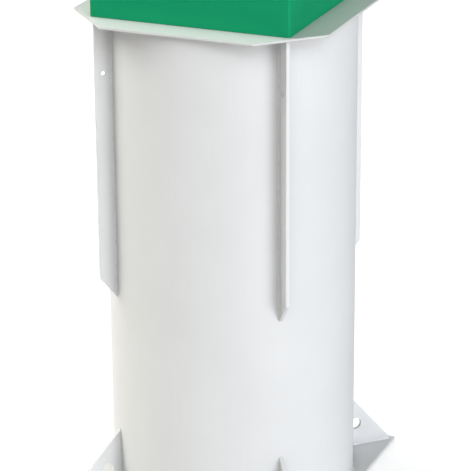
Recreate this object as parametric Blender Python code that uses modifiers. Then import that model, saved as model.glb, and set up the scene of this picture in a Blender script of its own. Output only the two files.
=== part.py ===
"""Free-standing septic tank welded from polypropylene sheet, at its real size.

Metres, +Z up. The origin is the centre of the base plate's underside, where the tank stands on the
ground. The front faces -Y, and the box cover swings open on hinges at the back, towards +Y.
"""
import math

import bmesh
import bpy
from mathutils import Matrix, Vector

# Shell
SHELL_RADIUS = 0.500
SHELL_WALL = 0.010
SHELL_SEGMENTS = 8
SHELL_STEPS_PER_TURN = 96

# Base plate, square with pointed corners
BASE_SIDE = 1.058
BASE_THICKNESS = 0.015

# Flange plate, square with cut corners, and the hatch opening in it
FLANGE_SIDE = 1.058
FLANGE_CUT = 0.217
FLANGE_THICKNESS = 0.010
FLANGE_TOP = 2.032
HATCH_SIDE = 0.730
HATCH_DIAGONAL_REACH = 0.455

# Upright ribs under the flange's corners
RIB_WIDTH = 0.069
RIB_THICKNESS = 0.015
RIB_OUTER_FOOT = 0.951
RIB_TIP = 0.865
RIB_HOLE_DIAMETER = 0.020
RIB_HOLE_RADIUS_FROM_AXIS = 0.534
RIB_HOLE_HEIGHT = 1.801

# Triangular gussets on the base plate's corners
GUSSET_THICKNESS = 0.015
GUSSET_REACH = 0.723
GUSSET_TOP = 0.281
GUSSET_TOE = 0.004
GUSSET_HOLE_DIAMETER = 0.050
GUSSET_HOLE_RADIUS_FROM_AXIS = 0.559
GUSSET_HOLE_HEIGHT = 0.113

# Box cover
COVER_SIDE = 0.823
COVER_HEIGHT = 0.250
COVER_WALL = 0.008
COVER_CORNER_RADIUS = 0.009
COVER_TOP_BEVEL = 0.003
COVER_TOP_BEVEL_STEPS = 3

# Upstand round the hatch, inside the cover
NECK_WALL = 0.010
NECK_HEIGHT = 0.070
NECK_CLEARANCE = 0.013

# Hinges on the cover's back
HINGE_SPACING = 0.500
HINGE_AXIS_OFFSET = 0.018
HINGE_AXIS_HEIGHT = 0.022
HINGE_WIDTH = 0.060
KNUCKLE_RADIUS = 0.010
KNUCKLE_WIDTH = 0.024
KNUCKLE_SIDE_PLAY = 0.001
BRACKET_FOOT_THICKNESS = 0.006
BRACKET_FOOT_REACH = 0.035
STRAP_THICKNESS = 0.005
STRAP_TOP = 0.070
STRAP_SHOULDER = 0.016
STRAP_KNUCKLE_END_ANGLE = 75
PIN_RADIUS = 0.005
PIN_PLAY = 0.0004
PIN_HEAD_RADIUS = 0.008
PIN_HEAD_THICKNESS = 0.003

# Making
SEAT_GAP = 0.0003
EDGE_BEVEL = 0.0015
BEVEL_ABOVE_ANGLE = 40
WELD_DISTANCE = 0.00001
STEPS_PER_TURN = 24
CORNERS = {"front_right": -45, "back_right": 45, "back_left": 135, "front_left": 225}
SIDES = {"front": 0, "right": 90, "back": 180, "left": 270}

# Worked out from the driving dimensions
HINGE_Y = COVER_SIDE / 2 + HINGE_AXIS_OFFSET
HINGE_Z = FLANGE_TOP + HINGE_AXIS_HEIGHT
RIB_OUTER_RADIUS = SHELL_RADIUS + RIB_WIDTH
FLANGE_UNDERSIDE = FLANGE_TOP - FLANGE_THICKNESS
COVER_BOTTOM = FLANGE_TOP + SEAT_GAP
COVER_TOP = FLANGE_TOP + COVER_HEIGHT

WHITE_SHEET = {"colour": (0.81, 0.82, 0.80, 1.0), "roughness": 0.38, "metallic": 0.0}
GREEN_SHEET = {"colour": (0.014, 0.305, 0.130, 1.0), "roughness": 0.40, "metallic": 0.0}
STEEL = {"colour": (0.60, 0.60, 0.59, 1.0), "roughness": 0.30, "metallic": 1.0}


def clear_scene():
    for thing in list(bpy.data.objects):
        bpy.data.objects.remove(thing, do_unlink=True)


def new_collection(name):
    collection = bpy.data.collections.new(name)
    bpy.context.scene.collection.children.link(collection)
    return collection


def own_material(name, finish):
    material = bpy.data.materials.new(name + "_material")
    material.use_nodes = True
    shader = material.node_tree.nodes["Principled BSDF"]
    shader.inputs["Base Color"].default_value = finish["colour"]
    shader.inputs["Roughness"].default_value = finish["roughness"]
    shader.inputs["Metallic"].default_value = finish["metallic"]
    material.diffuse_color = finish["colour"]
    return material


def arc(centre, radius, start, end, steps_per_turn=STEPS_PER_TURN):
    """Points on an arc, from one angle to another in degrees, both ends included."""
    steps = round(abs(end - start) * steps_per_turn / 360)
    angles = [math.radians(start + (end - start) * step / steps) for step in range(steps + 1)]
    return [(centre[0] + radius * math.cos(a), centre[1] + radius * math.sin(a)) for a in angles]


def circle(centre, radius):
    return arc(centre, radius, 0, 360)[:-1]


def cut_square(side, cut):
    """A square outline with its corners cut off at 45 degrees."""
    far = side / 2
    near = far - cut
    return [(-near, -far), (near, -far), (far, -near), (far, near),
            (near, far), (-near, far), (-far, near), (-far, -near)]


def rounded_square(side, radius):
    inner = side / 2 - radius
    outline = []
    for quarter, (x, y) in enumerate([(inner, inner), (-inner, inner), (-inner, -inner), (inner, -inner)]):
        outline += arc((x, y), radius, 90 * quarter, 90 * quarter + 90)
    return outline


def plate(name, finish, outlines, thickness, placement, bevel=EDGE_BEVEL, bevel_steps=1):
    """A flat outline, with any holes, as thick as the sheet, set in its place."""
    curve = bpy.data.curves.new(name, "CURVE")
    curve.dimensions = "2D"
    curve.fill_mode = "BOTH"
    curve.extrude = thickness / 2
    for outline in outlines:
        spline = curve.splines.new("POLY")
        spline.points.add(len(outline) - 1)
        for point, (x, y) in zip(spline.points, outline):
            point.co = (x, y, 0.0, 1.0)
        spline.use_cyclic_u = True
    curve.materials.append(own_material(name, finish))
    piece = bpy.data.objects.new(name, curve)
    tank_parts.objects.link(piece)
    piece.matrix_world = placement
    weld = piece.modifiers.new("weld", "WELD")
    weld.merge_threshold = WELD_DISTANCE
    if bevel:
        rounding = piece.modifiers.new("bevel", "BEVEL")
        rounding.width = bevel
        rounding.segments = bevel_steps
        rounding.limit_method = "ANGLE"
        rounding.angle_limit = math.radians(BEVEL_ABOVE_ANGLE)
    return piece


def upright(bottom, top):
    """Placement of a plan outline that runs from one height up to another."""
    return Matrix.Translation((0.0, 0.0, (bottom + top) / 2))


def radial(azimuth):
    """Placement of an outline drawn as (distance from the axis, height) in a radial plane."""
    return Matrix.Rotation(math.radians(azimuth), 4, "Z") @ Matrix.Rotation(math.radians(90), 4, "X")


def across(x):
    """Placement of an outline drawn as (y, height), with its thickness along X."""
    turned = Matrix(((0, 0, 1, 0), (1, 0, 0, 0), (0, 1, 0, 0), (0, 0, 0, 1)))
    return Matrix.Translation((x, 0.0, 0.0)) @ turned


def as_mesh(piece):
    """The piece as a closed mesh object of the same name, so that it can be cut."""
    name = piece.name
    graph = bpy.context.evaluated_depsgraph_get()
    mesh = bpy.data.meshes.new_from_object(piece.evaluated_get(graph))
    shape = bmesh.new()
    shape.from_mesh(mesh)
    bmesh.ops.remove_doubles(shape, verts=shape.verts, dist=WELD_DISTANCE)
    shape.to_mesh(mesh)
    shape.free()
    placement = piece.matrix_world.copy()
    bpy.data.objects.remove(piece, do_unlink=True)
    solid = bpy.data.objects.new(name, mesh)
    tank_parts.objects.link(solid)
    solid.matrix_world = placement
    return solid


def box_cutter(name, low, high):
    shape = bmesh.new()
    bmesh.ops.create_cube(shape, size=1.0)
    size = Vector(high) - Vector(low)
    bmesh.ops.scale(shape, vec=size, verts=shape.verts)
    mesh = bpy.data.meshes.new(name)
    shape.to_mesh(mesh)
    shape.free()
    cutter = bpy.data.objects.new(name, mesh)
    cutter.location = (Vector(low) + Vector(high)) / 2
    cutter.display_type = "WIRE"
    cutter.hide_render = True
    cutters.objects.link(cutter)
    return cutter


def cut(piece, low, high):
    """Take a box, given by its two corners, out of the piece."""
    number = len(piece.modifiers) + 1
    cutter = box_cutter(f"{piece.name}_cut_{number}", low, high)
    boolean = piece.modifiers.new(f"cut_{number}", "BOOLEAN")
    boolean.operation = "DIFFERENCE"
    boolean.solver = "EXACT"
    boolean.object = cutter


def base_plate():
    outline = cut_square(BASE_SIDE, 0.0)[::2]
    plate("base_plate", WHITE_SHEET, [outline], BASE_THICKNESS, upright(0.0, BASE_THICKNESS))


def shell_walls():
    """The round wall, as equal upright segments that meet on the axes and the diagonals."""
    bottom = BASE_THICKNESS + SEAT_GAP
    top = FLANGE_UNDERSIDE - SEAT_GAP
    span = 360 / SHELL_SEGMENTS
    half_gap = math.degrees(SEAT_GAP / 2 / (SHELL_RADIUS - SHELL_WALL))
    for number in range(SHELL_SEGMENTS):
        start = number * span + half_gap
        end = (number + 1) * span - half_gap
        outer = arc((0, 0), SHELL_RADIUS, start, end, SHELL_STEPS_PER_TURN)
        inner = arc((0, 0), SHELL_RADIUS - SHELL_WALL, end, start, SHELL_STEPS_PER_TURN)
        name = f"shell_wall_{number + 1:02d}"
        plate(name, WHITE_SHEET, [outer + inner], top - bottom, upright(bottom, top), bevel=0.0)


def flange_plate():
    hatch_cut = HATCH_SIDE - HATCH_DIAGONAL_REACH * math.sqrt(2)
    outlines = [cut_square(FLANGE_SIDE, FLANGE_CUT), cut_square(HATCH_SIDE, hatch_cut)]
    plate("flange_plate", WHITE_SHEET, outlines, FLANGE_THICKNESS, upright(FLANGE_UNDERSIDE, FLANGE_TOP))


def ribs():
    root = SHELL_RADIUS + SEAT_GAP
    top = FLANGE_UNDERSIDE - SEAT_GAP
    outline = [(root, RIB_TIP), (RIB_OUTER_RADIUS, RIB_OUTER_FOOT), (RIB_OUTER_RADIUS, top), (root, top)]
    hole = circle((RIB_HOLE_RADIUS_FROM_AXIS, RIB_HOLE_HEIGHT), RIB_HOLE_DIAMETER / 2)
    for corner, azimuth in CORNERS.items():
        plate(f"rib_{corner}", WHITE_SHEET, [outline, hole], RIB_THICKNESS, radial(azimuth))


def gussets():
    root = SHELL_RADIUS + SEAT_GAP
    foot = BASE_THICKNESS + SEAT_GAP
    outline = [(root, foot), (GUSSET_REACH, foot), (GUSSET_REACH, foot + GUSSET_TOE), (root, GUSSET_TOP)]
    hole = circle((GUSSET_HOLE_RADIUS_FROM_AXIS, GUSSET_HOLE_HEIGHT), GUSSET_HOLE_DIAMETER / 2)
    for corner, azimuth in CORNERS.items():
        plate(f"gusset_{corner}", WHITE_SHEET, [outline, hole], GUSSET_THICKNESS, radial(azimuth))


def side_panel_outline(side, wall, radius):
    """Plan of the front one of four panels, mitred where it meets its neighbours."""
    far = side / 2
    centre = far - radius
    gap = SEAT_GAP / math.sqrt(2)
    right = arc((centre, -centre), radius, -90, -45)
    right[-1] = (right[-1][0] - gap, right[-1][1])
    right.append((far - wall - gap, wall - far))
    left = [(-x, y) for x, y in reversed(right)]
    return left + right


def neck():
    """Upstand that keeps rain out of the hatch, and that the cover drops over."""
    side = COVER_SIDE - 2 * (COVER_WALL + NECK_CLEARANCE)
    outline = side_panel_outline(side, NECK_WALL, COVER_CORNER_RADIUS)
    bottom = FLANGE_TOP + SEAT_GAP
    top = FLANGE_TOP + NECK_HEIGHT
    for side_name, azimuth in SIDES.items():
        placement = Matrix.Rotation(math.radians(azimuth), 4, "Z") @ upright(bottom, top)
        plate(f"neck_{side_name}", GREEN_SHEET, [outline], top - bottom, placement)


def cover():
    """Four mitred side panels under a flat top sheet with rounded edges."""
    outline = side_panel_outline(COVER_SIDE, COVER_WALL, COVER_CORNER_RADIUS)
    top = COVER_TOP - COVER_WALL - SEAT_GAP
    pieces = []
    for side_name, azimuth in SIDES.items():
        placement = Matrix.Rotation(math.radians(azimuth), 4, "Z") @ upright(COVER_BOTTOM, top)
        name = f"cover_{side_name}"
        height = top - COVER_BOTTOM
        pieces.append(plate(name, GREEN_SHEET, [outline], height, placement))
    sheet = rounded_square(COVER_SIDE, COVER_CORNER_RADIUS)
    placement = upright(COVER_TOP - COVER_WALL, COVER_TOP)
    pieces.append(plate("cover_top", GREEN_SHEET, [sheet], COVER_WALL, placement,
                        COVER_TOP_BEVEL, COVER_TOP_BEVEL_STEPS))
    return pieces


def hinge_bracket(name, x):
    """Lug on the flange with a slot for the strap's knuckle, and a bore for the pin."""
    foot = FLANGE_TOP + SEAT_GAP
    foot_top = foot + BRACKET_FOOT_THICKNESS
    outline = [(HINGE_Y - KNUCKLE_RADIUS, foot), (HINGE_Y + BRACKET_FOOT_REACH, foot),
               (HINGE_Y + BRACKET_FOOT_REACH, foot_top), (HINGE_Y + KNUCKLE_RADIUS, foot_top)]
    outline += arc((HINGE_Y, HINGE_Z), KNUCKLE_RADIUS, 0, 180)
    bore = circle((HINGE_Y, HINGE_Z), PIN_RADIUS + PIN_PLAY)
    bracket = as_mesh(plate(name, STEEL, [outline, bore], HINGE_WIDTH, across(x), bevel=0.0))
    half_slot = KNUCKLE_WIDTH / 2 + KNUCKLE_SIDE_PLAY
    reach = 2 * KNUCKLE_RADIUS
    low = (x - half_slot, HINGE_Y - reach, foot_top)
    high = (x + half_slot, HINGE_Y + reach, HINGE_Z + reach)
    cut(bracket, low, high)


def hinge_strap(name, x):
    """Plate on the cover's back whose lower end is the knuckle that turns on the pin."""
    face = COVER_SIDE / 2 + SEAT_GAP
    back = face + STRAP_THICKNESS
    shoulder = HINGE_Z + STRAP_SHOULDER
    outline = [(face, HINGE_Z - KNUCKLE_RADIUS)]
    outline += arc((HINGE_Y, HINGE_Z), KNUCKLE_RADIUS, -90, STRAP_KNUCKLE_END_ANGLE)
    outline += [(back, shoulder + STRAP_THICKNESS), (back, HINGE_Z + STRAP_TOP), (face, HINGE_Z + STRAP_TOP)]
    bore = circle((HINGE_Y, HINGE_Z), PIN_RADIUS + PIN_PLAY)
    strap = as_mesh(plate(name, STEEL, [outline, bore], HINGE_WIDTH, across(x), bevel=0.0))
    reach = 2 * HINGE_WIDTH
    for side in (-1, 1):
        edges = sorted((x + side * KNUCKLE_WIDTH / 2, x + side * reach))
        low = (edges[0], face - reach, FLANGE_TOP - reach)
        high = (edges[1], HINGE_Y + reach, shoulder)
        cut(strap, low, high)
    return strap


def hinge_pin(name, x):
    """Headed pin, turned round its own axis and laid along X."""
    half = HINGE_WIDTH / 2 + SEAT_GAP
    end = half + PIN_HEAD_THICKNESS
    profile = [(0.0, end), (PIN_HEAD_RADIUS, end), (PIN_HEAD_RADIUS, half), (PIN_RADIUS, half),
               (PIN_RADIUS, -half), (PIN_HEAD_RADIUS, -half), (PIN_HEAD_RADIUS, -end), (0.0, -end)]
    mesh = bpy.data.meshes.new(name)
    points = [(radius, 0.0, height) for radius, height in profile]
    mesh.from_pydata(points, [(i, i + 1) for i in range(len(points) - 1)], [])
    mesh.materials.append(own_material(name, STEEL))
    pin = bpy.data.objects.new(name, mesh)
    tank_parts.objects.link(pin)
    pin.rotation_euler = (0.0, math.radians(90), 0.0)
    pin.location = (x, HINGE_Y, HINGE_Z)
    screw = pin.modifiers.new("screw", "SCREW")
    screw.steps = STEPS_PER_TURN
    screw.render_steps = STEPS_PER_TURN
    screw.use_merge_vertices = True
    screw.merge_threshold = WELD_DISTANCE


def hinge_axis(pieces):
    """An empty on the hinges' axis, which carries every piece of the cover."""
    axis = bpy.data.objects.new("cover_hinge", None)
    axis.location = (0.0, HINGE_Y, HINGE_Z)
    axis.empty_display_size = 0.1
    tank_parts.objects.link(axis)
    bpy.context.view_layer.update()
    for piece in pieces:
        piece.parent = axis
        piece.matrix_parent_inverse = axis.matrix_world.inverted()


clear_scene()
tank_parts = new_collection("septic_tank")
cutters = new_collection("cutters")

base_plate()
shell_walls()
flange_plate()
ribs()
gussets()
neck()
moving_pieces = cover()
for hinge_side, hinge_x in (("left", -HINGE_SPACING / 2), ("right", HINGE_SPACING / 2)):
    hinge_bracket(f"hinge_bracket_{hinge_side}", hinge_x)
    moving_pieces.append(hinge_strap(f"hinge_strap_{hinge_side}", hinge_x))
    hinge_pin(f"hinge_pin_{hinge_side}", hinge_x)
hinge_axis(moving_pieces)
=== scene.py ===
"""Looks of the septic tank: satin polypropylene sheet with weld beads along its joints, a green box
cover on steel hinges, and soft studio light, seen from the photograph's viewpoint.

Metres, +Z up, and degrees where nothing else is said.
"""

import math
from collections import namedtuple

import bpy
from mathutils import Matrix, Vector


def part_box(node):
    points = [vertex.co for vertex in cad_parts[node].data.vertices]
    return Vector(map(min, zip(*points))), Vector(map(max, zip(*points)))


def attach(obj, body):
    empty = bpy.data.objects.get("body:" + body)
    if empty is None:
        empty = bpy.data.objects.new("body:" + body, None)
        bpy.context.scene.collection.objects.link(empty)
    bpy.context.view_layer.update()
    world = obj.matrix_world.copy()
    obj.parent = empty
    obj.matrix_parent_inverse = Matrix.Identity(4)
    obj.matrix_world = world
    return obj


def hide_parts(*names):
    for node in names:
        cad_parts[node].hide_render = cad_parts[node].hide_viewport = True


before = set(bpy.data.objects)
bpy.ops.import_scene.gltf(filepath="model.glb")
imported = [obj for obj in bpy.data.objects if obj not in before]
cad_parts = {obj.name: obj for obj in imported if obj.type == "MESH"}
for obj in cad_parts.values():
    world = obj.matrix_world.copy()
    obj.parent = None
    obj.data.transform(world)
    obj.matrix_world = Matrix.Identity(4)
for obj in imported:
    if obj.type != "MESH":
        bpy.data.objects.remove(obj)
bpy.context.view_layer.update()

Bump = namedtuple("Bump", "height depth strength")
PaintedShade = namedtuple("PaintedShade", "reach tone")
Lamp = namedtuple("Lamp", "azimuth elevation strength colour spread mirrored")

# Camera, fitted to the edges in the photograph. Its azimuth is 0 at the front and 90 on the right, and
# its lens and sensor are in millimetres.
CAMERA_AZIMUTH = 23.03
CAMERA_REACH = 9.192
CAMERA_HEIGHT = 4.520
CAMERA_YAW = 22.946
CAMERA_PITCH = -20.680
CAMERA_ROLL = -0.383
CAMERA_LENS = 185.3
CAMERA_SENSOR = 36.0
CAMERA_CLIP = 100.0

# Places and sizes read from the CAD's nodes
BASE_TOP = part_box("base_plate")[1].z
FLANGE_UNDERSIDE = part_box("flange_plate")[0].z
FLANGE_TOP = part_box("flange_plate")[1].z
SHELL_WALLS = [name for name in sorted(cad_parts) if name.startswith("shell_wall")]
SHELL_RADIUS = max(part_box(name)[1].x for name in SHELL_WALLS)
RIB_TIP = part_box("rib_front_right")[0].z
GUSSET_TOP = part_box("gusset_front_right")[1].z
COVER_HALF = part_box("cover_top")[1].x
COVER_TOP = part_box("cover_top")[1].z
COVER_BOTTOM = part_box("cover_front")[0].z
NECK_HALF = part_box("neck_right")[1].x
NECK_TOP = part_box("neck_front")[1].z

# Sizes of sheet and fittings, as the CAD has them
SHELL_WALL = 0.010
PLATE_THICKNESS = 0.015
RIB_REACH = 0.569
GUSSET_REACH = 0.723
COVER_WALL = 0.008
NECK_WALL = 0.010
BOX_CORNER_RADIUS = 0.009
STRAP_THICKNESS = 0.005
BRACKET_FOOT_THICKNESS = 0.006

# What repeats: corners with a rib and a gusset, at their azimuths from +X towards +Y, and hinges
CORNER_AZIMUTHS = {"front_right": -45, "back_right": 45, "back_left": 135, "front_left": 225}
HINGE_SIDES = ("left", "right")

# Shell skin. A wave of its ripple has a count round the shell, a twist per metre of height and a phase,
# both in radians.
SHELL_STEPS = 192
SHELL_LEVELS = 41
SHELL_RIPPLE = 0.0005
SHELL_WAVES = ((3, 2.1, 0.0), (5, -3.4, 1.0))

# The shell's seam. Its profile has places across the width and heights, both as shares.
SEAM_AZIMUTH = 97
SEAM_WIDTH = 0.012
SEAM_HEIGHT = 0.0014
SEAM_PROFILE = ((-0.5, -0.4), (-0.5, 0.0), (-0.3, 0.8), (0.0, 1.0), (0.3, 0.8), (0.5, 0.0), (0.5, -0.4))

# Weld beads. Ripple, drift and end are shares of the bead's size. The drift's phase is in radians. A
# flatness of 1 is a round bead.
WELD_SIZE = 0.005
WELD_STEP = 0.0025
WELD_RIPPLE_PITCH = 0.009
WELD_RIPPLE = 0.06
WELD_DRIFT_PITCH = 0.17
WELD_DRIFT = 0.07
WELD_DRIFT_PHASE = 1.3
WELD_SINK = 0.0008
WELD_END = 0.3
WELD_TAPER = 0.008
WELD_ARC_STEPS = 4
WELD_FLATNESS = 1.35

# The cover and the neck, which are square boxes. Guard points keep a side's shading flat close to its
# corners. They lie BOX_GUARD of the side from its ends, or BOX_GUARD_OF_STEP of the step between the
# side's other points where that is less.
BOX_CORNER_STEPS = 6
BOX_SIDE_STEPS = 9
BOX_GUARD = 0.004
BOX_GUARD_OF_STEP = 0.3
BOX_INNER_RADIUS = 0.003

# Box cover. The crown's rings have insets from the cover's side and shares of the crown's height. The
# side's rings have shares of its height from the top down.
COVER_CROWN = 0.002
COVER_CROWN_RINGS = ((0.36, 1.0), (0.24, 0.92), (0.12, 0.68), (0.04, 0.3))
COVER_CEILING_INSET = 0.36
COVER_EDGE_RADIUS = 0.006
COVER_EDGE_STEPS = 4
COVER_SIDE_RINGS = (0.01, 0.17, 0.33, 0.5, 0.67, 0.83, 0.99, 1.0)
COVER_BOW = 0.0012
COVER_EASE = 0.001

# Neck under the cover
NECK_EASE = 0.0015
NECK_WELD_SIDE_STEPS = 300

# Hinge screws. A head's profile has reaches and heights as shares of its radius, and says which of its
# rings are the hexagon socket. Sides are from the middle of the strap or bracket, drops from the strap's
# top, and the inset from the bracket's back edge.
SCREW_RADIUS = 0.0050
SCREW_STEPS = 24
SCREW_PROFILE = ((1.00, 0.00, False), (1.00, 0.22, False), (0.90, 0.42, False), (0.70, 0.56, False),
                 (0.50, 0.62, False), (0.46, 0.60, True), (0.44, 0.20, True))
STRAP_SCREW_SIDES = (-0.019, 0.019)
STRAP_SCREW_DROPS = (0.010, 0.034)
BRACKET_SCREW_SIDES = (-0.018, 0.018)
BRACKET_SCREW_INSET = 0.011

# Largest angle between two faces that is shaded smooth
SKIN_SMOOTH = 35
WELD_SMOOTH = 60
BOX_SMOOTH = 50
SCREW_SMOOTH = 30

# Colours, linear
TANK_WHITE = (0.80, 0.80, 0.80)
# Flange and base plate: the sheet's white painted darker, as shade on their flat tops
SHADED_PLATE_WHITE = (0.69, 0.70, 0.69)
COVER_GREEN = (0.011, 0.346, 0.150)
STEEL_GREY = (0.58, 0.58, 0.57)

# Sheet: tones as shares of its colour
CLOUD_TONES = (0.975, 1.015)
STREAK_TONE = 0.97
# Sawn edges: upright ones a little paler, partly as a painted highlight, sloping ones darker as painted
# shade
SAWN_UPRIGHT_TONE_AND_HIGHLIGHT = 1.02
SAWN_SLOPING_SHADE = 0.86

# Sheet: what is added to its roughness
STREAK_ROUGHNESS = (-0.02, 0.02)
SMUDGE_ROUGHNESS = (-0.04, 0.06)
SAWN_ROUGHNESS = 0.15
WORN_ROUGHNESS = 0.12

# Sheet: refractive index, the pattern's scale along its streaks, the radius that corners are worn to,
# and the share of the sawn tone, with its painted highlight and shade, that shows there
SHEET_IOR = 1.49
STREAK_SCALE = 0.02
WORN_RADIUS = 0.0025
WORN_EDGE_LIGHT_SHARE = 0.5

# Weld filler: tones as shares of its colour, and roughness
WELD_TONES = (0.93, 1.01)
WELD_ROUGHNESS = (0.26, 0.40)

# Steel: tones as shares of its colour, roughness, and the pattern's scale along the brushing
BRUSHED_TONES = (0.86, 1.1)
HANDLED_TONE = 0.7
STEEL_ROUGHNESS = (0.26, 0.46)
BRUSHED_SCALE = 0.03

# Painted shade in crevices: how far from a corner it starts, and how dark it gets. It is darkest where
# no more than the share given below of the surroundings is open.
SHELL_PAINTED_SHADE = PaintedShade(reach=0.12, tone=0.82)
PLATE_PAINTED_SHADE = PaintedShade(reach=0.05, tone=0.83)
COVER_PAINTED_SHADE = PaintedShade(reach=0.04, tone=0.92)
PAINTED_SHADE_OPENNESS = 0.45

# Floor, and the shadow painted on it close round the base plate
FLOOR_HALF = 30.0
FLOOR_GREYS = ((0.50, 0.50, 0.50), (0.52, 0.52, 0.52))
FLOOR_GLOW = 0.60
FLOOR_PAINTED_SHADOW = PaintedShade(reach=0.04, tone=0.82)

# Surroundings. Glossy faces mirror a left, a right and an upper part. RIGHT_WAY points to the right in
# the photograph. The blends are half the widths of the soft borders between the parts, as sines.
WHITE = (1.0, 1.0, 1.0)
SURROUND_LIGHT = (0.02, 0.02, 0.02)
MIRROR_LEFT = (1.13, 1.08, 1.00)
MIRROR_RIGHT = (0.48, 0.51, 0.52)
MIRROR_ABOVE = (0.10, 0.10, 0.10)
RIGHT_WAY = (0.92, 0.39, 0.0)
SIDE_BLEND = 0.35
HORIZON_BLEND = 0.15

# Studio lamps: azimuth and elevation of the side they shine from, strength, colour, spread, and whether
# glossy faces mirror them. An azimuth of 0 is the front, and 90 the right. The last lamp is the light
# that a pale floor throws back up.
LAMPS = {
    "key_left": Lamp(-80, 40, 2.27, (1.0, 1.0, 0.95), 36, True),
    "high_left": Lamp(-80, 60, 0.50, (0.94, 1.0, 0.90), 36, True),
    "back_left": Lamp(-120, 40, 0.93, (1.0, 0.98, 0.97), 36, True),
    "front": Lamp(0, 40, 0.62, (1.0, 0.98, 0.90), 30, True),
    "front_right": Lamp(50, 40, 1.03, (0.89, 0.94, 1.0), 30, True),
    "front_low": Lamp(50, 24, 0.34, (0.94, 0.95, 1.0), 30, True),
    "low_right": Lamp(75, 8, 1.43, (0.93, 0.96, 1.0), 30, True),
    "back_fill": Lamp(-170, 10, 0.50, (1.0, 1.0, 1.0), 30, False),
    "floor_bounce": Lamp(0, -90, 2.90, (1.0, 0.995, 0.975), 130, False),
}


def material_tree(name):
    """A new material, its node tree and its shader."""
    material = bpy.data.materials.new(name)
    material.use_nodes = True
    tree = material.node_tree
    return material, tree, tree.nodes["Principled BSDF"]


def feed(tree, node, inputs):
    """Link or set a node's inputs, by name or number, each from a socket, number, vector or colour."""
    for key, value in inputs.items():
        socket = node.inputs[key]
        if isinstance(value, bpy.types.NodeSocket):
            tree.links.new(value, socket)
        elif socket.type == "RGBA":
            socket.default_value = (*value, 1.0)
        else:
            socket.default_value = value


def add_node(tree, kind, inputs=None, **properties):
    """A node of that kind, with its properties set and its inputs fed."""
    node = tree.nodes.new(kind)
    for key, value in properties.items():
        setattr(node, key, value)
    feed(tree, node, inputs or {})
    return node


def object_coordinates(tree, scale=(1, 1, 1)):
    """Place on the object in metres, or scaled to draw a pattern out."""
    place = add_node(tree, "ShaderNodeTexCoord").outputs["Object"]
    return add_node(tree, "ShaderNodeMapping", {"Vector": place, "Scale": scale}).outputs["Vector"]


def drawn_out(axes, scale):
    """Scale that draws a pattern out along the named axes."""
    return tuple(scale if axis in axes else 1.0 for axis in "xyz")


def noise(tree, vector, scale, detail, roughness=0.5):
    """Noise from 0 to 1, with about scale patches to the metre."""
    inputs = {"Vector": vector, "Scale": scale, "Detail": detail, "Roughness": roughness}
    return add_node(tree, "ShaderNodeTexNoise", inputs).outputs["Fac"]


def remap(tree, value, span, result=(0.0, 1.0)):
    """The value taken smoothly from one span to another, and level beyond its ends."""
    inputs = {"Value": value, "From Min": span[0], "From Max": span[1],
              "To Min": result[0], "To Max": result[1]}
    node = add_node(tree, "ShaderNodeMapRange", inputs, interpolation_type="SMOOTHSTEP")
    return node.outputs["Result"]


def math_node(tree, operation, *values):
    """Result of a maths node that is fed sockets or numbers."""
    node = add_node(tree, "ShaderNodeMath", dict(enumerate(values)), operation=operation)
    return node.outputs["Value"]


def dot_product(tree, first, second):
    """Dot product of two vectors, each a socket or numbers."""
    node = add_node(tree, "ShaderNodeVectorMath", {0: first, 1: second}, operation="DOT_PRODUCT")
    return node.outputs["Value"]


def mix_colours(tree, share, first, second, blend="MIX"):
    """Mix of two colours. The node's other inputs and outputs are for numbers and vectors."""
    inputs = {0: share, 6: first, 7: second}
    return add_node(tree, "ShaderNodeMix", inputs, data_type="RGBA", blend_type=blend).outputs[2]


def scaled(colour, factor):
    """A lighter or darker colour."""
    return tuple(min(1.0, channel * factor) for channel in colour)


def facing(tree, way):
    """How far a face looks up or down one way of its object, from 0 across it to 1 along it."""
    normal = add_node(tree, "ShaderNodeNewGeometry").outputs["Normal"]
    turned = add_node(tree, "ShaderNodeVectorTransform", {"Vector": normal}, vector_type="NORMAL",
                      convert_from="WORLD", convert_to="OBJECT")
    return math_node(tree, "ABSOLUTE", dot_product(tree, turned.outputs["Vector"], way))


def sawn_tone_and_light(tree, colour):
    """Sawn edges: paler where they stand upright, partly as a painted highlight, and darker where they
    slope, as painted shade.
    """
    slope = remap(tree, facing(tree, (0, 0, 1)), (0.3, 0.6))
    return mix_colours(tree, slope, scaled(colour, SAWN_UPRIGHT_TONE_AND_HIGHLIGHT), scaled(colour, SAWN_SLOPING_SHADE))


def corner_mask(tree, radius):
    """1 along the lines where two faces meet, and 0 away from them."""
    rounded = add_node(tree, "ShaderNodeBevel", {"Radius": radius}, samples=4).outputs["Normal"]
    flat = add_node(tree, "ShaderNodeNewGeometry").outputs["Normal"]
    return remap(tree, dot_product(tree, rounded, flat), (0.80, 0.985), (1.0, 0.0))


def painted_crevice_shade(tree, painted_shade):
    """Painted shade: 1 in the open and darker within reach of other faces, where shade falls in corners.
    """
    node = add_node(tree, "ShaderNodeAmbientOcclusion", {"Distance": painted_shade.reach}, samples=8)
    return remap(tree, node.outputs["AO"], (PAINTED_SHADE_OPENNESS, 1.0), (painted_shade.tone, 1.0))


def add_bumps(tree, shader, bumps):
    """Chain of bumps, each a height socket, its depth in metres and its strength."""
    normal = None
    for bump in bumps:
        inputs = {"Height": bump.height, "Distance": bump.depth, "Strength": bump.strength}
        node = add_node(tree, "ShaderNodeBump", inputs)
        if normal is not None:
            feed(tree, node, {"Normal": normal})
        normal = node.outputs["Normal"]
    feed(tree, shader, {"Normal": normal})


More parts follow.
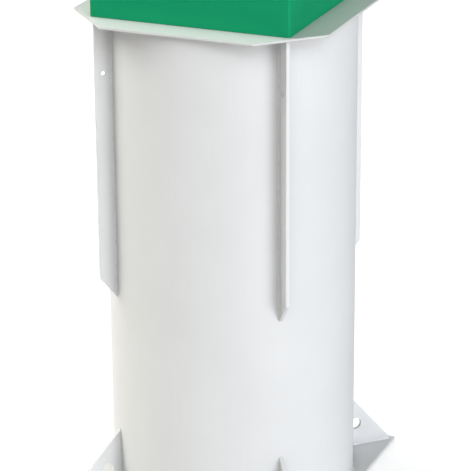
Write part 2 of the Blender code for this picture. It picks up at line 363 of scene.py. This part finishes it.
def sheet_material(name, colour, roughness, specular, streak_axes, painted_shade, flat_way=None):
    """Extruded polypropylene sheet: a satin skin with faint streaks and cloudy tone, and painted shade
    in crevices. A sheet whose flat way is given gets rougher sawn edges, in their own tone with a
    painted highlight where upright and painted shade where they slope, and worn corners that take some
    of it."""
    material, tree, shader = material_tree(name)
    place = object_coordinates(tree)
    streak_place = object_coordinates(tree, drawn_out(streak_axes, STREAK_SCALE))
    streaks = noise(tree, streak_place, scale=260, detail=3)
    clouds = noise(tree, place, scale=3.1, detail=3)
    smudges = noise(tree, place, scale=17, detail=5, roughness=0.62)
    pebble = noise(tree, place, scale=520, detail=2)
    waves = noise(tree, place, scale=7, detail=1)

    dark_cloud, pale_cloud = (scaled(colour, tone) for tone in CLOUD_TONES)
    tone = mix_colours(tree, remap(tree, clouds, (0.3, 0.7)), dark_cloud, pale_cloud)
    streak_share = remap(tree, streaks, (0.35, 0.75), (0.0, 0.5))
    tone = mix_colours(tree, streak_share, tone, scaled(colour, STREAK_TONE))
    smudge_roughness = tuple(roughness + change for change in SMUDGE_ROUGHNESS)
    smudged = remap(tree, smudges, (0.35, 0.7), smudge_roughness)
    rough = math_node(tree, "ADD", smudged, remap(tree, streaks, (0.3, 0.7), STREAK_ROUGHNESS))
    bumps = [Bump(waves, depth=0.004, strength=0.05), Bump(streaks, depth=0.0004, strength=0.05),
             Bump(pebble, depth=0.0004, strength=0.10)]

    if flat_way:
        sawn = remap(tree, facing(tree, flat_way), (0.75, 0.92), (1.0, 0.0))
        # Sawn edges get a tone that is partly painted light: a highlight where upright, shade where they
        # slope
        edge_tone_and_light = sawn_tone_and_light(tree, colour)
        tone = mix_colours(tree, sawn, tone, edge_tone_and_light)
        # Worn corners take part of that tone, with its painted highlight and shade, and get rougher
        corners = corner_mask(tree, WORN_RADIUS)
        wear_and_edge_light = math_node(tree, "MULTIPLY", corners, remap(tree, smudges, (0.40, 0.62), (0.25, 0.9)))
        tone = mix_colours(tree, math_node(tree, "MULTIPLY", wear_and_edge_light, WORN_EDGE_LIGHT_SHARE), tone, edge_tone_and_light)
        rougher = math_node(tree, "MAXIMUM", math_node(tree, "MULTIPLY", sawn, SAWN_ROUGHNESS),
                            math_node(tree, "MULTIPLY", wear_and_edge_light, WORN_ROUGHNESS))
        rough = math_node(tree, "ADD", rough, rougher)
        teeth = noise(tree, place, scale=900, detail=3, roughness=0.6)
        bumps.append(Bump(math_node(tree, "MULTIPLY", teeth, sawn), depth=0.0006, strength=0.20))

    # Painted shade: darker within reach of other faces
    tone = mix_colours(tree, 1.0, tone, painted_crevice_shade(tree, painted_shade), "MULTIPLY")
    feed(tree, shader, {"Base Color": tone, "Roughness": rough, "IOR": SHEET_IOR,
                        "Specular IOR Level": specular})
    add_bumps(tree, shader, bumps)
    return material


def plate_material(name, colour, flat_way):
    """Sheet of a plate whose faces look along its flat way, and whose edges are sawn."""
    return sheet_material(name, colour, roughness=0.38, specular=0.5, streak_axes="xy",
                          painted_shade=PLATE_PAINTED_SHADE, flat_way=flat_way)


def weld_material(name, colour, painted_shade):
    """Hot-laid filler: the sheet's colour, glossier, with fine ripples, a slightly scorched tone and
    painted shade in crevices.
    """
    material, tree, shader = material_tree(name)
    place = object_coordinates(tree)
    blotches = noise(tree, place, scale=45, detail=3)
    grain = noise(tree, place, scale=700, detail=2)
    scorched, clean = (scaled(colour, tone) for tone in WELD_TONES)
    tone = mix_colours(tree, remap(tree, blotches, (0.35, 0.7)), scorched, clean)
    # Painted shade in the bead's corners
    tone = mix_colours(tree, 1.0, tone, painted_crevice_shade(tree, painted_shade), "MULTIPLY")
    rough = remap(tree, blotches, (0.3, 0.7), WELD_ROUGHNESS)
    feed(tree, shader, {"Base Color": tone, "Roughness": rough, "IOR": SHEET_IOR})
    add_bumps(tree, shader, [Bump(blotches, depth=0.002, strength=0.10),
                             Bump(grain, depth=0.0005, strength=0.15)])
    return material


def steel_material(name, brushed_axis):
    """Stainless steel, brushed along one axis, with duller handled patches."""
    material, tree, shader = material_tree(name)
    brushed_place = object_coordinates(tree, drawn_out(brushed_axis, BRUSHED_SCALE))
    brushed = noise(tree, brushed_place, scale=900, detail=3)
    patches = noise(tree, object_coordinates(tree), scale=60, detail=4, roughness=0.6)
    dark, pale = (scaled(STEEL_GREY, tone) for tone in BRUSHED_TONES)
    tone = mix_colours(tree, remap(tree, brushed, (0.3, 0.7)), dark, pale)
    handled = remap(tree, patches, (0.5, 0.75), (0.0, 0.35))
    tone = mix_colours(tree, handled, tone, scaled(STEEL_GREY, HANDLED_TONE))
    rough = remap(tree, patches, (0.3, 0.75), STEEL_ROUGHNESS)
    feed(tree, shader, {"Base Color": tone, "Roughness": rough, "Metallic": 1.0})
    add_bumps(tree, shader, [Bump(brushed, depth=0.0003, strength=0.20),
                             Bump(patches, depth=0.0006, strength=0.15)])
    return material


def polar(azimuth, radius, height):
    """Point at an azimuth that is 0 at +X and 90 at +Y."""
    angle = math.radians(azimuth)
    return Vector((radius * math.cos(angle), radius * math.sin(angle), height))


def tangent(azimuth):
    """Level way across an azimuth, anticlockwise seen from above."""
    angle = math.radians(azimuth)
    return Vector((-math.sin(angle), math.cos(angle), 0.0))


def mesh_piece(name, points, faces, material, body, smooth_angle):
    """A closed mesh that rides on a body."""
    mesh = bpy.data.meshes.new(name)
    mesh.from_pydata([tuple(point) for point in points], [], faces)
    mesh.validate()
    mesh.shade_smooth()
    mesh.set_sharp_from_angle(angle=math.radians(smooth_angle))
    mesh.materials.append(material)
    piece = bpy.data.objects.new(name, mesh)
    bpy.context.scene.collection.objects.link(piece)
    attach(piece, body)
    return piece


def merged(meshes):
    """Points and faces of several meshes as one."""
    points = []
    faces = []
    for new_points, new_faces in meshes:
        offset = len(points)
        points += new_points
        faces += [tuple(offset + i for i in face) for face in new_faces]
    return points, faces


def ring_faces(ring_count, per_ring, closed_rings=False):
    """Quads between neighbouring rings that have the same number of points."""
    faces = []
    for ring in range(ring_count if closed_rings else ring_count - 1):
        here = ring * per_ring
        there = ((ring + 1) % ring_count) * per_ring
        for i in range(per_ring):
            j = (i + 1) % per_ring
            faces.append((here + i, here + j, there + j, there + i))
    return faces


def ring_caps(ring_count, per_ring):
    """Faces that close the first and last rings. Turned round, they fit rings that run the other way."""
    first = tuple(reversed(range(per_ring)))
    last = tuple(range((ring_count - 1) * per_ring, ring_count * per_ring))
    return [first, last]


def shell_ring(radius, height, ripple=0.0):
    """Points round the shell, taken in by up to the ripple's depth."""
    points = []
    for step in range(SHELL_STEPS):
        angle = 2 * math.pi * step / SHELL_STEPS
        waves = [math.sin(count * angle + twist * height + phase) for count, twist, phase in SHELL_WAVES]
        share = (1 + sum(waves) / len(waves)) / 2
        reach = radius - ripple * share
        points.append((reach * math.cos(angle), reach * math.sin(angle), height))
    return points


def shell_skin(material):
    """The round wall in one piece, a little out of round as rolled sheet is."""
    wall_height = FLANGE_UNDERSIDE - BASE_TOP
    heights = [BASE_TOP + wall_height * level / (SHELL_LEVELS - 1) for level in range(SHELL_LEVELS)]
    points = []
    for height in reversed(heights):
        points += shell_ring(SHELL_RADIUS, height, SHELL_RIPPLE)
    for height in heights:
        points += shell_ring(SHELL_RADIUS - SHELL_WALL, height)
    faces = ring_faces(2 * SHELL_LEVELS, SHELL_STEPS, closed_rings=True)
    skin = mesh_piece("shell_skin", points, faces, material, "tank", SKIN_SMOOTH)
    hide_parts(*SHELL_WALLS)


def outward(points, faces, stations):
    """Faces turned so that a bead's skin looks out of its corner. The third face is on that skin."""
    a, b, c = (Vector(points[i]) for i in faces[2][:3])
    middle = stations[0][1] + stations[0][2]
    flipped = (b - a).cross(c - a).dot(middle) < 0
    return [tuple(reversed(face)) for face in faces] if flipped else faces


def fillet(stations, closed):
    """Points and faces of one weld bead. A station is a point in the corner that the bead fills, and the
    ways along the corner's two faces."""
    points = []
    count = len(stations)
    travelled = 0.0
    total = sum((stations[i + 1][0] - stations[i][0]).length for i in range(count - 1))
    for index, (corner, first, second) in enumerate(stations):
        if index:
            travelled += (corner - stations[index - 1][0]).length
        swell = 1 + WELD_RIPPLE * math.sin(2 * math.pi * travelled / WELD_RIPPLE_PITCH)
        swell += WELD_DRIFT * math.sin(2 * math.pi * travelled / WELD_DRIFT_PITCH + WELD_DRIFT_PHASE)
        if not closed:
            from_end = min(travelled, total - travelled)
            swell *= min(1.0, WELD_END + (1 - WELD_END) * from_end / WELD_TAPER)
        points.append(corner - (first + second) * WELD_SINK)
        for step in range(WELD_ARC_STEPS + 1):
            angle = math.pi / 2 * step / WELD_ARC_STEPS
            along_first = max(0.0, math.cos(angle)) ** WELD_FLATNESS
            along_second = max(0.0, math.sin(angle)) ** WELD_FLATNESS
            points.append(corner + (first * along_first + second * along_second) * WELD_SIZE * swell)
    per_ring = WELD_ARC_STEPS + 2
    faces = ring_faces(count, per_ring, closed)
    if not closed:
        faces += [tuple(reversed(cap)) for cap in ring_caps(count, per_ring)]
    return points, outward(points, faces, stations)


def weld_piece(name, beads, material, closed=False):
    """Several beads as one mesh."""
    points, faces = merged(fillet(stations, closed) for stations in beads)
    mesh_piece(name, points, faces, material, "tank", WELD_SMOOTH)


def straight_stations(start, end, first, second):
    """Stations of a straight bead."""
    count = max(2, round((end - start).length / WELD_STEP))
    return [(start.lerp(end, i / (count - 1)), first, second) for i in range(count)]


def shell_stations(height, along_wall):
    """Stations of a bead round the shell, where its wall meets a plate."""
    count = round(2 * math.pi * SHELL_RADIUS / WELD_STEP)
    azimuths = [360 * i / count for i in range(count)]
    return [(polar(azimuth, SHELL_RADIUS, height), polar(azimuth, 1, 0), along_wall)
            for azimuth in azimuths]


def shell_welds(material):
    """Beads round the foot and the head of the shell."""
    up = Vector((0, 0, 1))
    ends = {"foot": shell_stations(BASE_TOP, up), "head": shell_stations(FLANGE_UNDERSIDE, -up)}
    for end, stations in ends.items():
        weld_piece(f"weld_shell_{end}", [stations], material, closed=True)


def plate_welds(material):
    """Beads along both sides of each rib and gusset, where they meet the shell and the plates."""
    up = Vector((0, 0, 1))
    foot = up * BASE_TOP
    head = up * FLANGE_UNDERSIDE
    for corner, azimuth in CORNER_AZIMUTHS.items():
        out = polar(azimuth, 1, 0)
        rib_beads = []
        gusset_beads = []
        for side in (-1, 1):
            across = tangent(azimuth) * side
            face = across * PLATE_THICKNESS / 2
            root = polar(azimuth, SHELL_RADIUS, 0) + face
            rib_end = polar(azimuth, RIB_REACH, 0) + face
            gusset_end = polar(azimuth, GUSSET_REACH, 0) + face
            rib_tip = up * (RIB_TIP + WELD_SIZE)
            gusset_tip = up * (GUSSET_TOP - WELD_SIZE)
            rib_beads.append(straight_stations(root + rib_tip, root + head, across, out))
            rib_beads.append(straight_stations(root + head, rib_end + head, across, -up))
            gusset_beads.append(straight_stations(root + foot, root + gusset_tip, across, out))
            gusset_beads.append(straight_stations(root + foot, gusset_end + foot, across, up))
        weld_piece(f"weld_rib_{corner}", rib_beads, material)
        weld_piece(f"weld_gusset_{corner}", gusset_beads, material)


def shell_seam(material):
    """Flat bead up the back, where the rolled sheet's two edges meet."""
    bottom = BASE_TOP + WELD_SIZE
    top = FLANGE_UNDERSIDE - WELD_SIZE
    levels = round((top - bottom) / WELD_STEP)
    side = tangent(SEAM_AZIMUTH)
    points = []
    for level in range(levels + 1):
        height = bottom + (top - bottom) * level / levels
        swell = 1 + WELD_RIPPLE * math.sin(2 * math.pi * height / WELD_RIPPLE_PITCH)
        for across, proud in SEAM_PROFILE:
            radius = SHELL_RADIUS + SEAM_HEIGHT * proud * swell
            points.append(polar(SEAM_AZIMUTH, radius, height) + side * across * SEAM_WIDTH * swell)
    per_ring = len(SEAM_PROFILE)
    faces = ring_faces(levels + 1, per_ring) + ring_caps(levels + 1, per_ring)
    mesh_piece("weld_shell_seam", points, faces, material, "tank", WELD_SMOOTH)


def square_ring(half, radius, height, side_steps=BOX_SIDE_STEPS, bow=0.0):
    """A rounded square at one height, with extra points along its sides, which can bow in."""
    points = []
    centre = half - radius
    guard = min(BOX_GUARD, BOX_GUARD_OF_STEP / side_steps)
    shares = [guard] + [i / side_steps for i in range(1, side_steps)] + [1 - guard]
    for quarter in range(4):
        turn = Matrix.Rotation(math.pi / 2 * quarter, 4, "Z")
        for step in range(BOX_CORNER_STEPS + 1):
            angle = math.pi / 2 * step / BOX_CORNER_STEPS
            place = (centre + radius * math.cos(angle), centre + radius * math.sin(angle), height)
            points.append(turn @ Vector(place))
        for share in shares:
            depth = half - bow * math.sin(math.pi * share)
            points.append(turn @ Vector((centre * (1 - 2 * share), depth, height)))
    return points


def box_piece(name, rings, material, body, capped):
    """Green box of square rings, capped at both ends or else joined from its last ring to its first."""
    points = [point for ring in rings for point in ring]
    per_ring = len(rings[0])
    faces = ring_faces(len(rings), per_ring, closed_rings=not capped)
    if capped:
        faces += ring_caps(len(rings), per_ring)
    return mesh_piece(name, points, faces, material, body, BOX_SMOOTH)


def cover_shell(material):
    """The box cover in one piece: rounded edges, side sheets that bow in a little, and a crowned top."""
    edge_top = COVER_TOP - COVER_CROWN
    side_top = edge_top - COVER_EDGE_RADIUS
    side_bottom = COVER_BOTTOM + COVER_EASE
    inner = COVER_HALF - COVER_WALL
    ceiling = COVER_TOP - COVER_WALL - COVER_CROWN

    rings = []
    for inset, lift in COVER_CROWN_RINGS:
        rings.append(square_ring(COVER_HALF - inset, BOX_CORNER_RADIUS, edge_top + COVER_CROWN * lift))
    for step in range(COVER_EDGE_STEPS + 1):
        angle = math.pi / 2 * step / COVER_EDGE_STEPS
        inset = COVER_EDGE_RADIUS * (1 - math.sin(angle))
        height = edge_top - COVER_EDGE_RADIUS * (1 - math.cos(angle))
        rings.append(square_ring(COVER_HALF - inset, BOX_CORNER_RADIUS, height))
    for share in COVER_SIDE_RINGS:
        height = side_top + (side_bottom - side_top) * share
        bow = COVER_BOW * math.sin(math.pi * share)
        rings.append(square_ring(COVER_HALF, BOX_CORNER_RADIUS, height, bow=bow))
    rings.append(square_ring(COVER_HALF - COVER_EASE, BOX_CORNER_RADIUS, COVER_BOTTOM))
    rings.append(square_ring(inner + COVER_EASE, BOX_INNER_RADIUS, COVER_BOTTOM))
    rings.append(square_ring(inner, BOX_INNER_RADIUS, COVER_BOTTOM + COVER_EASE))
    rings.append(square_ring(inner, BOX_INNER_RADIUS, ceiling))
    rings.append(square_ring(inner - COVER_CEILING_INSET, BOX_INNER_RADIUS, ceiling))
    cover = box_piece("cover_shell", rings, material, "cover", capped=True)
    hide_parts("cover_front", "cover_right", "cover_back", "cover_left", "cover_top")


def neck_shell(material):
    """The upstand round the hatch in one piece, with eased edges."""
    inner = NECK_HALF - NECK_WALL
    eased_top = NECK_TOP - NECK_EASE
    rings = [
        square_ring(inner, BOX_INNER_RADIUS, FLANGE_TOP),
        square_ring(inner, BOX_INNER_RADIUS, eased_top),
        square_ring(inner + NECK_EASE, BOX_INNER_RADIUS, NECK_TOP),
        square_ring(NECK_HALF - NECK_EASE, BOX_CORNER_RADIUS, NECK_TOP),
        square_ring(NECK_HALF, BOX_CORNER_RADIUS, eased_top),
        square_ring(NECK_HALF, BOX_CORNER_RADIUS, FLANGE_TOP),
    ]
    neck = box_piece("neck_shell", rings, material, "tank", capped=False)
    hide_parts("neck_front", "neck_right", "neck_back", "neck_left")


def neck_weld(material):
    """Bead round the outside of the neck's foot."""
    corners = square_ring(NECK_HALF, BOX_CORNER_RADIUS, FLANGE_TOP, NECK_WELD_SIDE_STEPS)
    count = len(corners)
    up = Vector((0, 0, 1))
    stations = []
    for index, corner in enumerate(corners):
        way = (corners[(index + 1) % count] - corners[index - 1]).normalized()
        stations.append((corner, way.cross(up), up))
    weld_piece("weld_neck", [stations], material, closed=True)


def screw_head(centre, out, side):
    """Points and faces of a button head with a hexagon socket, standing on a face."""
    third = out.cross(side)
    half_flat = math.pi / 6
    points = []
    for reach, height, hexagon in SCREW_PROFILE:
        for step in range(SCREW_STEPS):
            angle = 2 * math.pi * step / SCREW_STEPS
            radius = reach * SCREW_RADIUS
            if hexagon:
                radius *= math.cos(half_flat) / math.cos(angle % (2 * half_flat) - half_flat)
            offset = side * math.cos(angle) * radius + third * math.sin(angle) * radius
            points.append(centre + offset + out * height * SCREW_RADIUS)
    ring_count = len(SCREW_PROFILE)
    return points, ring_faces(ring_count, SCREW_STEPS) + ring_caps(ring_count, SCREW_STEPS)


def screw_piece(name, places, out, side, material, body):
    """Several screws as one mesh."""
    points, faces = merged(screw_head(place, out, side) for place in places)
    mesh_piece(name, points, faces, material, body, SCREW_SMOOTH)


def hinge_screws(material):
    """Four screws in each strap and two in each bracket's foot."""
    back = Vector((0, 1, 0))
    up = Vector((0, 0, 1))
    side = Vector((1, 0, 0))
    for hinge in HINGE_SIDES:
        low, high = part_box(f"hinge_strap_{hinge}")
        middle = (low.x + high.x) / 2
        face = low.y + STRAP_THICKNESS
        places = [Vector((middle + sideways, face, high.z - drop))
                  for sideways in STRAP_SCREW_SIDES for drop in STRAP_SCREW_DROPS]
        screw_piece(f"strap_screws_{hinge}", places, back, side, material, "cover")
        low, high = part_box(f"hinge_bracket_{hinge}")
        foot = low.z + BRACKET_FOOT_THICKNESS
        places = [Vector((middle + sideways, high.y - BRACKET_SCREW_INSET, foot))
                  for sideways in BRACKET_SCREW_SIDES]
        screw_piece(f"bracket_screws_{hinge}", places, up, side, material, "tank")


def paint_nodes(names, material):
    """Give carried CAD nodes their finished material."""
    for name in names:
        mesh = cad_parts[name].data
        mesh.materials.clear()
        mesh.materials.append(material)


def floor():
    """Pale floor, with a painted shadow close round the base plate. It glows, so that it is as white as
    the backdrop, and neither lights nor shades the tank."""
    mesh = bpy.data.meshes.new("floor")
    corners = [(x * FLOOR_HALF, y * FLOOR_HALF, 0) for x, y in ((-1, -1), (1, -1), (1, 1), (-1, 1))]
    mesh.from_pydata(corners, [], [(0, 1, 2, 3)])
    material, tree, shader = material_tree("floor_paint")
    mottle = noise(tree, object_coordinates(tree), scale=0.8, detail=3)
    # Painted contact shadow: the floor's glow dims close round the base plate
    glow_and_painted_shadow = math_node(tree, "MULTIPLY", painted_crevice_shade(tree, FLOOR_PAINTED_SHADOW), FLOOR_GLOW)
    feed(tree, shader, {"Base Color": mix_colours(tree, mottle, *FLOOR_GREYS), "Roughness": 0.9,
                        "Specular IOR Level": 0.1, "Emission Color": WHITE, "Emission Strength": glow_and_painted_shadow})
    mesh.materials.append(material)
    ground = bpy.data.objects.new("floor", mesh)
    ground.visible_diffuse = False
    ground.visible_glossy = False
    ground.visible_shadow = False
    bpy.context.scene.collection.objects.link(ground)


def surround():
    """White backdrop. Glossy faces mirror a pale floor, brighter and warmer on the left, under a dark
    ceiling."""
    world = bpy.data.worlds.new("studio_surround")
    world.use_nodes = True
    tree = world.node_tree
    path = add_node(tree, "ShaderNodeLightPath")
    way = add_node(tree, "ShaderNodeTexCoord").outputs["Generated"]
    height = add_node(tree, "ShaderNodeSeparateXYZ", {"Vector": way}).outputs["Z"]
    right = remap(tree, dot_product(tree, way, RIGHT_WAY), (-SIDE_BLEND, SIDE_BLEND))
    above = remap(tree, height, (-HORIZON_BLEND, HORIZON_BLEND))
    mirrored = mix_colours(tree, right, MIRROR_LEFT, MIRROR_RIGHT)
    mirrored = mix_colours(tree, above, mirrored, MIRROR_ABOVE)
    colour = mix_colours(tree, path.outputs["Is Glossy Ray"], SURROUND_LIGHT, mirrored)
    colour = mix_colours(tree, path.outputs["Is Camera Ray"], colour, WHITE)
    feed(tree, tree.nodes["Background"], {"Color": colour})
    bpy.context.scene.world = world


def studio_lamps():
    """Broad lamps with soft shadows."""
    for name, lamp in LAMPS.items():
        data = bpy.data.lights.new(name, "SUN")
        data.angle = math.radians(lamp.spread)
        data.energy = lamp.strength
        data.color = lamp.colour
        light = bpy.data.objects.new(name, data)
        turn = math.radians(lamp.azimuth)
        lift = math.radians(lamp.elevation)
        level = math.cos(lift)
        way_back = Vector((math.sin(turn) * level, -math.cos(turn) * level, math.sin(lift)))
        light.rotation_euler = way_back.to_track_quat("Z", "Y").to_euler()
        light.visible_glossy = lamp.mirrored
        bpy.context.scene.collection.objects.link(light)


def camera():
    """The photograph's viewpoint."""
    data = bpy.data.cameras.new("photo_camera")
    data.lens = CAMERA_LENS
    data.sensor_width = CAMERA_SENSOR
    data.clip_end = CAMERA_CLIP
    view = bpy.data.objects.new("photo_camera", data)
    azimuth = math.radians(CAMERA_AZIMUTH)
    place = Vector((math.sin(azimuth) * CAMERA_REACH, -math.cos(azimuth) * CAMERA_REACH, CAMERA_HEIGHT))
    turn = Matrix.Rotation(math.radians(CAMERA_YAW), 4, "Z")
    # Unturned, a camera looks straight down
    tilt = Matrix.Rotation(math.radians(90 + CAMERA_PITCH), 4, "X")
    roll = Matrix.Rotation(math.radians(CAMERA_ROLL), 4, "Z")
    view.matrix_world = Matrix.Translation(place) @ turn @ tilt @ roll
    bpy.context.scene.collection.objects.link(view)
    bpy.context.scene.camera = view


# Materials
# Flat plates, in a white painted darker as shade on their tops
shaded_flat_sheet = plate_material("shaded_flat_sheet", SHADED_PLATE_WHITE, (0, 0, 1))
shell_sheet = sheet_material("shell_sheet", TANK_WHITE, roughness=0.36, specular=0.5, streak_axes="z",
                             painted_shade=SHELL_PAINTED_SHADE)
cover_sheet = sheet_material("cover_sheet", COVER_GREEN, roughness=0.50, specular=0.02, streak_axes="xy",
                             painted_shade=COVER_PAINTED_SHADE)
tank_weld = weld_material("tank_weld", TANK_WHITE, PLATE_PAINTED_SHADE)
cover_weld = weld_material("cover_weld", COVER_GREEN, COVER_PAINTED_SHADE)
steel = steel_material("steel", "z")
screw_steel = steel_material("screw_steel", "x")

# Studio
camera()
floor()
surround()
studio_lamps()
bpy.context.scene.view_settings.view_transform = "Standard"

# Pieces, and materials of the CAD's own nodes
shell_skin(shell_sheet)
shell_welds(tank_weld)
shell_seam(tank_weld)
plate_welds(tank_weld)
cover_shell(cover_sheet)
neck_shell(cover_sheet)
neck_weld(cover_weld)
hinge_screws(screw_steel)
paint_nodes(["base_plate", "flange_plate"], shaded_flat_sheet)
for corner, azimuth in CORNER_AZIMUTHS.items():
    plate_sheet = plate_material(f"plate_sheet_{corner}", TANK_WHITE, tuple(tangent(azimuth)))
    paint_nodes([f"rib_{corner}", f"gusset_{corner}"], plate_sheet)
hinge_nodes = [f"hinge_{kind}_{side}" for kind in ("bracket", "strap", "pin") for side in HINGE_SIDES]
paint_nodes(hinge_nodes, steel)
